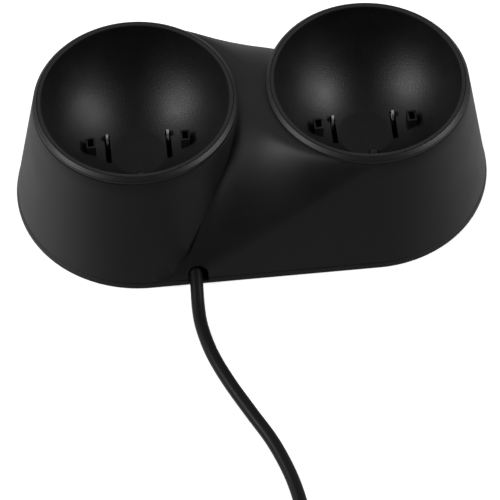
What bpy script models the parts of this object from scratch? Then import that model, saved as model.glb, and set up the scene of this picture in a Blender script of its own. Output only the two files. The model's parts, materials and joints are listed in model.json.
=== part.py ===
"""Twin charging dock for a pair of round-headed motion controllers, with its USB lead.

The frame: Z up from the table, X along the dock (left cup on -X), the cable leaves towards -Y.
Two straight cones carry the bowls.  A saddle joins them: it is the same after half a turn about Z.
In front it is level with the right cup's rim and falls away to the foot of the left cone.
"""

import math

import bmesh
import bpy
from mathutils import Matrix, Vector

MM = 0.001

# ---------------------------------------------------------------- driving dimensions, in millimetres
CUP_X = 29.5            # each cup's axis from the middle of the dock
RIM_Z = 37.7            # top of the rims above the table
BASE_Z = 0.4            # underside of the base plate; the feet reach down to 0
BASE_R = 32.87          # radius of the base outline's round ends
END_X = 29.6            # their centres
CONE_SLOPE = 0.1947     # how fast the cones and the flat sides lean in, per millimetre of height
WALL = 2.0
PLATE_TOP = 2.2
SHELL_FOOT = 2.45       # a fine line shows between the plate and the housing

BOWL_R = 23.75          # a controller's 46 mm head with a little room
FLOOR_R = 7.0
LINER_R = 24.7
LINER_OUT = 24.9
OPENING_R = 24.95
COLLAR_R = 25.8
COLLAR_FOOT = 36.05
COLLAR_ROUND = 1.0
GROOVE = 0.3

CREASE_TURN = 71.0      # the saddle's edge runs round the cone by this angle, in degrees
CREASE_HIGH = 36.3
CREASE_LOW = 12.4
CREASE_POWER = 2.1
SADDLE_EDGE = 36.2
SADDLE_EASE = 1.5
FOOT_SPREAD = 0.12      # how far the shoulder's lines lean outwards on their way down to the foot
ROUND_FROM = 0.26       # the shoulder's rounding starts this far from the dock's middle to its flat side
ROUND_PULL = 0.55
FLAT_TOP = 14.9         # height of the flat side's upper edge at the middle of the dock
FLAT_RISE = 0.72        # how fast that edge climbs to the right
TOE_END = -29.4         # left of the crease the shoulder sinks into the cone, and is gone here
TOE_LOW = 2.9
TOE_POWER = 2.2

PEG_X = 12.2
PEG_Y = 0.25
PEG_WIDE = 2.5
PEG_DEEP = 3.4
PEG_WALL = 0.5
PEG_TOP = 20.5
SLOT_X = 7.9
SLOT_WIDE = 1.4
SLOT_BACK = 5.6
SLOT_FRONT = -2.9
BLADE = 0.6             # each contact is a blade on edge, bent up out of its slot
NOSE_Y = 4.4
NOSE_Z = 17.6
NOSE_R = 0.7
ROOT_Y = 8.0            # it flexes at its root, behind the nose
ROOT_Z = 11.9
TAIL_LOW = 9.75
PIPE_SPOTS = {-1: (-29.5, -7.3), 1: (31.1, -6.4)}
PIPE_R = 1.2
PIPE_TOP = 15.75
POST_Y = 12.0
POST_TOP = 15.9

NOTCH_X = -17.25
NOTCH_WIDE = 5.2
NOTCH_TOP = 6.6
NOTCH_SILL = 1.35
CABLE_R = 1.7
CABLE_X = -17.8
CABLE_Z = 4.3
CLAMP_Y = -23.0

BOARD_Z = 5.4
BOARD_THICK = 1.2
CUP_BOARD_Z = 8.4
CUP_BOARD_THICK = 1.0
COIL_X, COIL_Y = -17.6, -137.5
COIL_R = 19.0
COIL_THICK = 5.0
GAP = 0.3

AROUND = 40


# ---------------------------------------------------------------- helpers
def clear_scene():
    for obj in list(bpy.data.objects):
        bpy.data.objects.remove(obj, do_unlink=True)


def material(name, colour, roughness, metallic=0.0, ior=1.5):
    made = bpy.data.materials.get(name)
    if made:
        return made
    made = bpy.data.materials.new(name)
    made.use_nodes = True
    shader = made.node_tree.nodes["Principled BSDF"]
    shader.inputs["Base Color"].default_value = (*colour, 1.0)
    shader.inputs["Roughness"].default_value = roughness
    shader.inputs["Metallic"].default_value = metallic
    shader.inputs["IOR"].default_value = ior
    made.diffuse_color = (*colour, 1.0)
    return made


def materials():
    return {
        "shell": material("shell_plastic", (0.018, 0.018, 0.019), 0.36),
        "liner": material("liner_plastic", (0.020, 0.020, 0.021), 0.55),
        "inner": material("inner_plastic", (0.035, 0.035, 0.037), 0.6),
        "rubber": material("foot_rubber", (0.025, 0.025, 0.025), 0.85),
        "cable": material("cable_jacket", (0.015, 0.015, 0.016), 0.4),
        "gold": material("contact_metal", (0.83, 0.70, 0.42), 0.22, 1.0),
        "steel": material("screw_steel", (0.50, 0.50, 0.52), 0.3, 1.0),
        "nickel": material("plug_metal", (0.72, 0.72, 0.73), 0.25, 1.0),
        "board": material("board_laminate", (0.012, 0.014, 0.013), 0.45),
        "chip": material("chip_epoxy", (0.02, 0.02, 0.02), 0.5),
        "connector": material("connector_nylon", (0.80, 0.77, 0.68), 0.5),
        "window": material("light_window", (0.10, 0.10, 0.10), 0.3),
        "red": material("red_lead", (0.45, 0.02, 0.02), 0.45),
    }


def finish(mesh, name, slot, smooth=None):
    """A node from a bmesh in millimetres.  Faces are shaded smooth where they meet under `smooth` degrees."""
    bmesh.ops.remove_doubles(mesh, verts=mesh.verts, dist=1e-4)
    bmesh.ops.recalc_face_normals(mesh, faces=mesh.faces)
    data = bpy.data.meshes.new(name)
    bmesh.ops.scale(mesh, vec=(MM, MM, MM), verts=mesh.verts)
    mesh.to_mesh(data)
    mesh.free()
    obj = bpy.data.objects.new(name, data)
    bpy.context.scene.collection.objects.link(obj)
    if slot:
        data.materials.append(slot)
    if smooth is not None:
        shade(obj, smooth)
    return obj


def shade(obj, degrees):
    data = obj.data
    data.polygons.foreach_set("use_smooth", [True] * len(data.polygons))
    data.set_sharp_from_angle(angle=math.radians(degrees))


def hinge_at(obj, point):
    """Moves the object's origin to a point given in millimetres and leaves its shape where it is."""
    place = Vector(point) * MM
    obj.data.transform(Matrix.Translation(-place))
    obj.location = place


def combine(obj, others, operation):
    for other in others:
        modifier = obj.modifiers.new("join", "BOOLEAN")
        modifier.object = other
        modifier.operation = operation
        modifier.solver = "MANIFOLD"   # EXACT leaves open edges where the flat sides run tangent to the cones
        graph = bpy.context.evaluated_depsgraph_get()
        data = bpy.data.meshes.new_from_object(obj.evaluated_get(graph), depsgraph=graph)
        obj.modifiers.clear()
        obj.data = data
        bpy.data.objects.remove(other, do_unlink=True)
    return obj


def add(obj, *others):
    return combine(obj, others, "UNION")


def cut(obj, *others):
    return combine(obj, others, "DIFFERENCE")


def turned(profile, name, slot, x=0.0, y=0.0, around=AROUND, smooth=35):
    """A closed (radius, height) outline turned about a vertical axis."""
    mesh = bmesh.new()
    rings = []
    for radius, z in profile:
        if radius < 1e-6:
            rings.append([mesh.verts.new((x, y, z))])
            continue
        rings.append([
            mesh.verts.new((x + radius * math.cos(a), y + radius * math.sin(a), z))
            for a in (2 * math.pi * (k + 0.5) / around for k in range(around))
        ])
    for lower, upper in zip(rings, rings[1:] + rings[:1]):
        if len(lower) == 1 and len(upper) == 1:
            continue
        for k in range(around):
            n = (k + 1) % around
            corners = [lower[k % len(lower)], lower[n % len(lower)],
                       upper[n % len(upper)], upper[k % len(upper)]]
            mesh.faces.new(list(dict.fromkeys(corners)))
    return finish(mesh, name, slot, smooth)


def rod(radius, z0, z1, x, y, name="cutter", slot=None, around=16, chamfer=0.0):
    if chamfer:
        outline = [(0, z0), (radius - chamfer, z0), (radius, z0 + chamfer),
                   (radius, z1 - chamfer), (radius - chamfer, z1), (0, z1)]
    else:
        outline = [(0, z0), (radius, z0), (radius, z1), (0, z1)]
    return turned(outline, name, slot, x, y, around)


def prism(outline, z0, z1, name="cutter", slot=None, smooth=None, frame=None):
    """A flat outline given height; `frame` turns it from the XY plane to another place."""
    mesh = bmesh.new()
    low = [mesh.verts.new((px, py, z0)) for px, py in outline]
    high = [mesh.verts.new((px, py, z1)) for px, py in outline]
    mesh.faces.new(low)
    mesh.faces.new(high)
    for k in range(len(outline)):
        n = (k + 1) % len(outline)
        mesh.faces.new((low[k], low[n], high[n], high[k]))
    if frame is not None:
        bmesh.ops.transform(mesh, matrix=frame, verts=mesh.verts)
    return finish(mesh, name, slot, smooth)


def rounded(wide, deep, corner, x=0.0, y=0.0, steps=4):
    outline = []
    for cx, cy, start in ((1, 1, 0), (-1, 1, 90), (-1, -1, 180), (1, -1, 270)):
        for k in range(steps + 1):
            a = math.radians(start + 90 * k / steps)
            outline.append((x + cx * (wide / 2 - corner) + corner * math.cos(a),
                            y + cy * (deep / 2 - corner) + corner * math.sin(a)))
    return outline


def box(wide, deep, z0, z1, x, y, name="cutter", slot=None, corner=0.0):
    if corner:
        return prism(rounded(wide, deep, corner, x, y), z0, z1, name, slot, 35)
    w, d = wide / 2, deep / 2
    return prism([(x - w, y - d), (x + w, y - d), (x + w, y + d), (x - w, y + d)], z0, z1, name, slot)


def stadium(radius, steps=18):
    ends = []
    for side in (1, -1):
        for k in range(steps + 1):
            a = math.radians(-90 + 180 * k / steps)
            ends.append((side * (END_X + radius * math.cos(a)), side * radius * math.sin(a)))
    return ends


def stadium_stack(levels, name, slot=None, steps=18, smooth=30):
    """Stadium outlines of (radius, height), one on another, closed at both ends."""
    mesh = bmesh.new()
    rings = [[mesh.verts.new((px, py, z)) for px, py in stadium(radius, steps)] for radius, z in levels]
    mesh.faces.new(rings[0])
    mesh.faces.new(rings[-1])
    for lower, upper in zip(rings, rings[1:]):
        for k in range(len(lower)):
            n = (k + 1) % len(lower)
            mesh.faces.new((lower[k], lower[n], upper[n], upper[k]))
    return finish(mesh, name, slot, smooth)


def smooth_route(knots, spacing):
    """Points about `spacing` apart on a smooth curve through the knots."""
    ends = [2 * knots[0] - knots[1]] + list(knots) + [2 * knots[-1] - knots[-2]]
    fine = []
    for a, b, c, d in zip(ends, ends[1:], ends[2:], ends[3:]):
        for k in range(24):
            t = k / 24
            fine.append(0.5 * (2 * b + (c - a) * t + (2 * a - 5 * b + 4 * c - d) * t * t
                               + (3 * b - a - 3 * c + d) * t * t * t))
    fine.append(knots[-1])
    lengths = [0.0]
    for a, b in zip(fine, fine[1:]):
        lengths.append(lengths[-1] + (b - a).length)
    count = max(3, round(lengths[-1] / spacing) + 1)
    route, at = [], 0
    for k in range(count):
        want = lengths[-1] * k / (count - 1)
        while at < len(fine) - 2 and lengths[at + 1] < want:
            at += 1
        share = (want - lengths[at]) / max(lengths[at + 1] - lengths[at], 1e-9)
        route.append(fine[at].lerp(fine[at + 1], min(max(share, 0), 1)))
    return route


def wire(knots, radius, name, slot, spacing, bevel=2):
    """A round lead along knots given in millimetres."""
    curve = bpy.data.curves.new(name, "CURVE")
    curve.dimensions = "3D"
    curve.bevel_depth = radius * MM
    curve.bevel_resolution = bevel
    curve.use_fill_caps = True
    route = smooth_route([Vector(k) for k in knots], spacing)
    line = curve.splines.new("POLY")
    line.points.add(len(route) - 1)
    for point, place in zip(line.points, route):
        point.co = (*(place * MM), 1.0)
    line.use_smooth = True
    obj = bpy.data.objects.new(name, curve)
    bpy.context.scene.collection.objects.link(obj)
    curve.materials.append(slot)
    return obj


# ---------------------------------------------------------------- the housing's outer shape
def cone_radius(z):
    return BASE_R - CONE_SLOPE * (z - BASE_Z)


def crease_point(turn, inset):
    """A point on the saddle's low edge, `turn` degrees round the left cone from +X towards the front."""
    z = CREASE_HIGH - (CREASE_HIGH - CREASE_LOW) * (turn / CREASE_TURN) ** CREASE_POWER
    radius = cone_radius(z) - inset
    angle = math.radians(-turn)
    return Vector((-CUP_X + radius * math.cos(angle), radius * math.sin(angle), z))


def rim_point(turn, inset):
    """A point on the saddle's high edge, `turn` degrees round the right cup from -X towards the front."""
    radius = cone_radius(SADDLE_EDGE) - inset
    angle = math.radians(180 + turn)
    return Vector((CUP_X + radius * math.cos(angle), radius * math.sin(angle), SADDLE_EDGE))


def side_y(z, inset):
    return -(cone_radius(z) - inset)


def top_point(u, t, inset, drop, embed):
    """The saddle's upper surface: u runs from the crease to the right rim, t from the middle to the front."""
    low = crease_point(CREASE_TURN * t, embed)
    high = rim_point(90.0 * t, embed)
    place = low.lerp(high, u)
    place.z = low.z + (high.z - low.z) * (1 - (1 - u) ** SADDLE_EASE) - drop
    place.y = max(place.y, side_y(place.z, inset))
    return place


def round_over(back, ahead, knee, under, foot, inset, fillet, lower):
    """On from `back` towards `ahead`, in a wide curve inside `knee` to `under`, and down to the foot."""
    lift = (ahead - back).normalized() * (ROUND_PULL * (knee - back).length)
    first = back + lift
    second = under + (knee - under) * ROUND_PULL
    line = []
    for k in range(1, fillet + 1):
        s = k / fillet
        line.append(back * (1 - s) ** 3 + first * (3 * s * (1 - s) ** 2) + second * (3 * s * s * (1 - s))
                    + under * s ** 3)
    for k in range(1, lower + 1):
        point = under.lerp(foot, k / lower)
        point.y = side_y(point.z, inset)
        line.append(point)
    return line


def saddle_column(u, inset, drop, foot, rows, embed, fillet, lower):
    """One line of the saddle from the dock's middle to the front, over the shoulder and down the side."""
    start = ROUND_FROM + (0.93 - ROUND_FROM) * u ** 4 + 0.2 * (1 - u) ** 4
    top = [top_point(u, start * k / rows, inset, drop, embed) for k in range(rows + 1)]
    ahead = top_point(u, start + 0.01, inset, drop, embed)
    corner = top_point(u, 1.0, inset, drop, embed)
    knee = Vector((corner.x, side_y(corner.z, inset), corner.z))
    foot_x = corner.x + FOOT_SPREAD * ((END_X - 0.4) * (2 * u - 1) - corner.x)
    base = Vector((foot_x, side_y(foot, inset), foot))
    flat_z = min(max(FLAT_TOP + FLAT_RISE * corner.x, foot + 0.3), corner.z - 1.0)
    under = knee.lerp(base, (corner.z - flat_z) / (corner.z - foot))
    under.y = side_y(under.z, inset)
    return top + round_over(top[-1], ahead, knee, under, base, inset, fillet, lower)


def toe_column(v, first, foot, rows, fillet, lower):
    """A line left of the crease's low end, where the shoulder sinks into the cone as v goes from 0 to 1.

    Its upper part runs inside the cone from the saddle's first point; `first` is the saddle's first line.
    """
    knee_z = TOE_LOW + (CREASE_LOW - TOE_LOW) * (1 - v) ** TOE_POWER
    knee_x = crease_point(CREASE_TURN, 0.0).x * (1 - v) + (TOE_END + 0.5) * v - 0.4 * (1 - v)
    sunk = 0.04 * v
    back = first[rows].lerp(Vector((knee_x + 1.0, -cone_radius(knee_z) + 1.5, knee_z + 3.0)), v)
    ahead = back + (Vector((knee_x, -cone_radius(knee_z), knee_z)) - back) * 0.1
    knee = Vector((knee_x, side_y(knee_z, sunk), knee_z))
    under_z = foot + 0.3 - 0.15 * v
    under = Vector((knee_x - 0.6 * (1 - v), side_y(under_z, sunk), under_z))
    base = Vector((knee_x - 0.9 * (1 - v), side_y(foot, sunk), foot))
    inside = [first[0].lerp(back, k / rows) for k in range(rows + 1)]
    return inside + round_over(back, ahead, knee, under, base, sunk, fillet, lower)


def bridge(name, inset=0.0, drop=0.0, foot=SHELL_FOOT, columns=12, rows=6, embed=1.2,
           fillet=7, lower=2, toe=5):
    """The saddle between the cones as one closed solid, reaching a little into both of them."""
    lines = [saddle_column(j / columns, inset, drop, foot, rows, embed, fillet, lower)
             for j in range(columns + 1)]
    toes = [toe_column(j / toe, lines[0], foot, rows, fillet, lower) for j in range(toe, 0, -1)]
    mesh = bmesh.new()
    saddle = [[mesh.verts.new(p) for p in line] for line in lines]
    centre = [column[0] for column in saddle]
    front = [[centre[0]] + [mesh.verts.new(p) for p in line[1:]] for line in toes] + saddle
    back = []
    for j in range(columns + 1):
        back.append([centre[j]] + [mesh.verts.new((-p.x, -p.y, p.z)) for p in lines[columns - j][1:]])
    for line in toes[::-1]:
        back.append([centre[-1]] + [mesh.verts.new((-p.x, -p.y, p.z)) for p in line[1:]])
    for grid in (front, back):
        for left, right in zip(grid, grid[1:]):
            for k in range(len(left) - 1):
                corners = (left[k], left[k + 1], right[k + 1], right[k])
                mesh.faces.new(list(dict.fromkeys(corners)))
    loop = []
    for side in (0, -1):
        edge = front[side][::-1] + back[side][1:]
        foot_points = [edge[0]] + [mesh.verts.new((v.co.x, v.co.y, foot)) for v in edge[1:-1]] + [edge[-1]]
        for k in range(len(edge) - 1):
            corners = (edge[k], edge[k + 1], foot_points[k + 1], foot_points[k])
            mesh.faces.new(list(dict.fromkeys(corners)))
        loop.append(foot_points)
    outline = loop[0] + [c[-1] for c in back[1:-1]] + loop[1][::-1] + [c[-1] for c in front[1:-1]][::-1]
    mesh.faces.new(outline)
    return finish(mesh, name, None, 30)


def upper_housing(slots):
    """Both cones, the saddle and the collars, hollow from below, with four screw pillars."""
    cone_top = COLLAR_FOOT - GROOVE
    housing = None
    for side in (-1, 1):
        collar = [(COLLAR_R - COLLAR_ROUND * (1 - math.cos(math.radians(a))),
                   RIM_Z - COLLAR_ROUND * (1 - math.sin(math.radians(a)))) for a in (0, 30, 60, 90)]
        outline = [(0, SHELL_FOOT), (cone_radius(SHELL_FOOT), SHELL_FOOT), (cone_radius(cone_top), cone_top),
                   (COLLAR_R - GROOVE, cone_top + 0.1), (COLLAR_R - GROOVE, COLLAR_FOOT - 0.05),
                   (COLLAR_R, COLLAR_FOOT)] + collar + [(0, RIM_Z)]
        name = "upper_housing" if housing is None else "cone"
        cone = turned(outline, name, slots["shell"], side * CUP_X, around=56)
        housing = cone if housing is None else add(housing, cone)
    add(housing, bridge("saddle"))
    for side in (-1, 1):
        inner = [(0, 1.0), (cone_radius(1.0) - WALL, 1.0), (cone_radius(31.0) - WALL, 31.0), (0, 31.0)]
        cut(housing, turned(inner, "inner_cone", None, side * CUP_X, around=28),
            rod(OPENING_R, 30.0, 45.0, side * CUP_X, 0, around=56))
    cut(housing, bridge("inner_saddle", inset=WALL, drop=2.4, foot=1.0, columns=7, rows=4, embed=1.6,
                        fillet=5, lower=2, toe=0))
    inner = [(cone_radius(1.0) - WALL, 1.0), (cone_radius(4.8) - WALL, 4.8)]
    cut(housing, stadium_stack(inner, "inner_foot"))
    for x, y in pillars():
        add(housing, rod(2.7, SHELL_FOOT + GAP, 16.5, x, y, around=16))
        cut(housing, rod(0.95, 0.0, 11.0, x, y, around=12))
    cut(housing, notch_cutter())
    shade(housing, 30)
    return housing


def pillars():
    reach = 26.3
    spots = []
    for side in (-1, 1):
        for turn in (-38, 38):
            a = math.radians(turn)
            spots.append((side * (CUP_X + reach * math.cos(a)), reach * math.sin(a)))
    return spots


def notch_cutter():
    """The cable's doorway, arched above; the base plate runs on as its sill."""
    half = NOTCH_WIDE / 2
    outline = [(NOTCH_X - half, NOTCH_SILL), (NOTCH_X + half, NOTCH_SILL)]
    for k in range(17):
        a = math.pi * k / 16
        outline.append((NOTCH_X + half * math.cos(a), NOTCH_TOP - half + half * math.sin(a)))
    stand = Matrix(((1, 0, 0, 0), (0, 0, 1, 0), (0, 1, 0, 0), (0, 0, 0, 1)))
    return prism(outline, -40.0, -26.3, "notch", None, None, stand)


def base_plate(slots):
    rim = cone_radius(BASE_Z)
    plate = stadium_stack([(rim - 0.35, BASE_Z), (rim - 0.08, BASE_Z + 0.12), (rim - 0.08, BASE_Z + 0.4),
                           (cone_radius(PLATE_TOP), PLATE_TOP)], "base_plate", slots["shell"])
    lip = cone_radius(4.2) - WALL - 0.45
    cut_out = stadium_stack([(lip - 1.2, 1.0), (lip - 1.2, 6.0)], "cutter")
    wall = stadium_stack([(lip, PLATE_TOP - 0.4), (lip, 4.2)], "cutter")
    add(plate, cut(wall, cut_out))
    for x, y in pillars():
        cut(plate, rod(3.3, PLATE_TOP, 6.0, x, y, around=20))
        cut(plate, rod(1.3, 0.0, 3.0, x, y, around=16), rod(2.3, 0.0, 1.3, x, y, around=20))
    for x, y in feet_spots():
        cut(plate, rod(4.3, 0.0, 0.9, x, y, around=20))
    for x in (-15.0, 15.0):
        add(plate, rod(2.4, PLATE_TOP - 0.4, BOARD_Z - GAP, x, 8.0, around=18))
        cut(plate, rod(0.85, 1.2, 8.0, x, 8.0, around=12))
    saddle = box(13.0, 6.0, PLATE_TOP - 0.4, CABLE_Z + 0.4, CABLE_X, CLAMP_Y)
    lie = Matrix.Translation((CABLE_X, 0, CABLE_Z)) @ Matrix.Rotation(math.radians(90), 4, "X")
    circle = [(2.0 * math.cos(2 * math.pi * k / 24), 2.0 * math.sin(2 * math.pi * k / 24)) for k in range(24)]
    groove = prism(circle, 10.0, 36.0, "cutter", None, None, lie)
    add(plate, saddle)
    cut(plate, groove)
    for side in (-1, 1):
        cut(plate, rod(0.75, 1.2, 8.0, CABLE_X + side * 4.4, CLAMP_Y, around=12))
    cut(plate, notch_cutter())
    shade(plate, 30)
    return plate


def feet_spots():
    return [(sx * 44.0, sy * 12.0) for sx in (-1, 1) for sy in (-1, 1)]


# ---------------------------------------------------------------- the cups
def bowl_height(radius, ball=BOWL_R):
    return RIM_Z - math.sqrt(ball * ball - radius * radius)


def cup_liner(side, name, slots):
    """A half ball with a flat floor, two hollow square pegs and a slot beside each contact."""
    floor = bowl_height(FLOOR_R)
    inner = []
    steps = 8
    start = math.asin(FLOOR_R / BOWL_R)
    for k in range(steps + 1):
        a = math.pi / 2 + (start - math.pi / 2) * k / steps
        inner.append((BOWL_R * math.sin(a), RIM_Z - BOWL_R * math.cos(a)))
    under = [(0, floor - 1.4), (7.6, floor - 1.4)]
    low = math.asin(8.2 / LINER_OUT)
    high = math.asin(LINER_R / LINER_OUT) - 0.01
    for k in range(6):
        a = low + (high - low) * k / 5
        under.append((LINER_OUT * math.sin(a), RIM_Z - LINER_OUT * math.cos(a)))
    under += [(LINER_R, 34.9), (LINER_R, RIM_Z - 0.25), (LINER_R - 0.2, RIM_Z)]
    outline = under + [(BOWL_R + 0.15, RIM_Z)] + [(BOWL_R, RIM_Z - 0.15)] + inner[1:] + [(0, floor)]
    x = side * CUP_X
    liner = turned(outline, name, slots["liner"], x)
    for end in (-1, 1):
        add(liner, rod(2.0, CUP_BOARD_Z + CUP_BOARD_THICK + GAP, POST_TOP, x, end * POST_Y, around=20))
        cut(liner, rod(0.8, 5.0, 13.5, x, end * POST_Y, around=12))
        add(liner, box(PEG_WIDE, PEG_DEEP, 15.9, PEG_TOP, x + end * PEG_X, PEG_Y))
        cut(liner, box(PEG_WIDE - 2 * PEG_WALL, PEG_DEEP - 2 * PEG_WALL, 17.8, 30.0, x + end * PEG_X, PEG_Y))
        middle = (SLOT_BACK + SLOT_FRONT) / 2
        cut(liner, box(SLOT_WIDE, SLOT_BACK - SLOT_FRONT, 5.0, 19.0, x + end * SLOT_X, middle))
    cut(liner, rod(PIPE_R + 0.15, 5.0, 20.0, *PIPE_SPOTS[side], around=24))
    shade(liner, 30)
    return liner


def blade_outline():
    """The contact from the side, as (y, z): a round nose, an upright, an arm to the root and a solder tail."""
    nose = []
    for k in range(9):
        a = math.radians(180 - 180 * k / 8)
        nose.append((NOSE_Y + NOSE_R * math.cos(a), NOSE_Z - NOSE_R + NOSE_R * math.sin(a)))
    behind = [(NOSE_Y + 0.65, 13.6), (NOSE_Y + 0.9, 12.9), (NOSE_Y + 1.4, ROOT_Z + 0.6),
              (ROOT_Y + 0.8, ROOT_Z + 0.6)]
    tail = [(ROOT_Y + 0.8, TAIL_LOW), (ROOT_Y - 0.1, TAIL_LOW), (ROOT_Y - 0.1, ROOT_Z - 0.6)]
    front = [(NOSE_Y + 0.6, ROOT_Z - 0.6), (NOSE_Y - 0.2, ROOT_Z - 0.3), (NOSE_Y - 0.6, ROOT_Z + 0.5),
             (NOSE_Y - 0.65, 13.6)]
    return nose + behind + tail + front


def contact_spring(x, name, slots):
    lie = Matrix(((0, 0, 1, 0), (1, 0, 0, 0), (0, 1, 0, 0), (0, 0, 0, 1)))
    blade = prism(blade_outline(), x - BLADE / 2, x + BLADE / 2, name, slots["gold"], 30, lie)
    hinge_at(blade, (x, ROOT_Y, ROOT_Z))
    return blade


def contact_block(side, name, slots):
    """Fills the space under a bowl's floor; each contact stands in a slot that is open behind."""
    x = side * CUP_X
    floor = bowl_height(FLOOR_R) - 1.4
    front, rear = -4.6, 9.0
    block = box(20.6, rear - front, CUP_BOARD_Z + CUP_BOARD_THICK + GAP, floor - GAP, x, (front + rear) / 2,
                name, slots["inner"], 0.8)
    for end in (-1, 1):
        cut(block, box(1.5, 13.0, 5.0, 16.0, x + end * SLOT_X, SLOT_FRONT + 6.5))
    return block


def cup_board(side, name, slots):
    x = side * CUP_X
    top = CUP_BOARD_Z + CUP_BOARD_THICK
    board = box(20.0, 28.5, CUP_BOARD_Z, top, x, 0.0, name, slots["board"], 1.2)
    for end in (-1, 1):
        cut(board, rod(1.0, 5.0, 12.0, x, end * POST_Y, around=12))
    return board


def screw(x, y, head_z, up, name, slots, shank=0.7, head=1.6, length=5.0):
    """A pan screw driven upwards (up=1) or downwards (up=-1); head_z is the face its head bears on."""
    deep = 0.42 * head
    outline = [(0, -deep + 0.5 * deep), (0.35 * head, -deep + 0.5 * deep), (0.35 * head, -deep),
               (0.8 * head, -deep), (head, -0.55 * deep), (head, 0.0), (shank, 0.0),
               (shank, length - 0.5), (0.3 * shank, length), (0, length)]
    outline = [(r, head_z + up * z) for r, z in outline]
    return turned(outline if up > 0 else outline[::-1], name, slots["steel"], x, y, 10)


# ---------------------------------------------------------------- what is inside the base
def main_board(slots):
    board = box(42.0, 24.0, BOARD_Z, BOARD_Z + BOARD_THICK, 0.0, 0.0, "main_board", slots["board"], 1.5)
    for x in (-15.0, 15.0):
        cut(board, rod(1.1, 3.0, 9.0, x, 8.0, around=14))
    return board


def board_parts(slots):
    top = BOARD_Z + BOARD_THICK + 0.15
    for side, word in ((-1, "left"), (1, "right")):
        box(5.0, 4.0, top, top + 1.5, side * 8.0, -1.0, "charge_ic_" + word, slots["chip"], 0.3)
        box(4.6, 3.2, top, top + 3.4, side * 15.6, -1.5, "cup_connector_" + word, slots["connector"], 0.3)
    box(7.6, 3.4, top, top + 3.6, -9.5, -8.6, "cable_connector", slots["connector"], 0.3)
    box(5.4, 5.4, top, top + 3.0, 3.2, -6.6, "power_inductor", slots["chip"], 0.8)
    rod(2.4, top, top + 5.2, 0.0, 6.4, "input_capacitor", slots["nickel"], 20, 0.3)


def cable_clamp(slots):
    low, high = CABLE_Z + 0.4 + GAP, CABLE_Z + 3.3
    clamp = box(13.0, 5.0, low, high, CABLE_X, CLAMP_Y, "cable_clamp", slots["inner"], 0.8)
    lie = Matrix.Translation((CABLE_X, 0, CABLE_Z)) @ Matrix.Rotation(math.radians(90), 4, "X")
    circle = [(2.0 * math.cos(2 * math.pi * k / 24), 2.0 * math.sin(2 * math.pi * k / 24)) for k in range(24)]
    cut(clamp, prism(circle, 10.0, 36.0, "cutter", None, None, lie))
    for side in (-1, 1):
        cut(clamp, rod(1.0, 2.0, 12.0, CABLE_X + side * 4.4, CLAMP_Y, around=12))
        screw(CABLE_X + side * 4.4, CLAMP_Y, high + 0.1, -1,
              "clamp_screw_left" if side < 0 else "clamp_screw_right", slots, 0.6, 1.3, 5.2)
    return clamp


def leads(slots):
    board_top = BOARD_Z + BOARD_THICK
    for k, (word, slot) in enumerate((("power", "red"), ("ground", "chip"))):
        shift = k * 2.0 - 1.0
        wire([(CABLE_X + shift * 0.8, -18.4, CABLE_Z), (CABLE_X + 1.2 + shift, -16.0, 6.0),
              (-11.6 + shift, -13.4, 8.4), (-9.5 + shift, -11.0, 8.9)],
             0.55, "cable_lead_" + word, slots[slot], 1.6, 1)
        for side, cup in ((-1, "left"), (1, "right")):
            y = -1.5 + shift * 0.8
            wire([(side * 18.3, y, board_top + 0.9), (side * 20.6, y, board_top + 0.5),
                  (side * 23.0, y, board_top + 0.3), (side * 25.4, y, CUP_BOARD_Z - 1.0)],
                 0.5, f"cup_lead_{cup}_{word}", slots[slot], 1.4, 1)


# ---------------------------------------------------------------- the USB lead outside
def usb_cable(slots):
    """From the clamp, out of the notch, over the table in an easy S and on to the coil."""
    low = CABLE_R + 0.05
    knots = [(CABLE_X, -19.6, CABLE_Z), (CABLE_X, -27.0, CABLE_Z), (CABLE_X - 0.1, -34.0, 3.6),
             (CABLE_X - 0.3, -41.0, 2.2), (-17.7, -47.0, low), (-15.9, -55.0, low), (-12.6, -63.5, low),
             (-8.1, -72.8, low), (-3.6, -81.8, low), (-0.4, -91.0, low), (1.2, -99.0, low),
             (1.9, -107.0, low), (1.9, -115.0, low), (1.6, -121.5, low)]
    return wire(knots, CABLE_R, "usb_cable", slots["cable"], 5.2)


def cable_coil(slots):
    """The wound length of the lead as one ring, and the tie that holds it."""
    outline = []
    for k in range(8):
        a = 2 * math.pi * k / 8
        outline.append((COIL_R + COIL_THICK * math.cos(a), COIL_THICK + 0.05 + COIL_THICK * math.sin(a)))
    coil = turned(outline, "cable_coil", slots["cable"], COIL_X, COIL_Y, 28, 50)
    strand = Matrix.Translation((COIL_X - COIL_R, COIL_Y, COIL_THICK + 0.05))
    spin = strand @ Matrix.Rotation(math.radians(90), 4, "X")
    ring = []
    for radius in (COIL_THICK + 0.55, COIL_THICK + 1.35):
        ring.append([(radius * math.cos(2 * math.pi * k / 20), radius * math.sin(2 * math.pi * k / 20))
                     for k in range(20)])
    flat = -(COIL_THICK + 0.02)
    outer = [(px, max(py, flat)) for px, py in ring[1]]
    tie = prism(outer, -2.2, 2.2, "coil_tie", slots["rubber"], 35, spin)
    inner = prism(ring[0], -6.0, 6.0, "cutter", None, None, spin)
    cut(tie, inner)
    shade(tie, 35)
    return coil, tie


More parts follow.
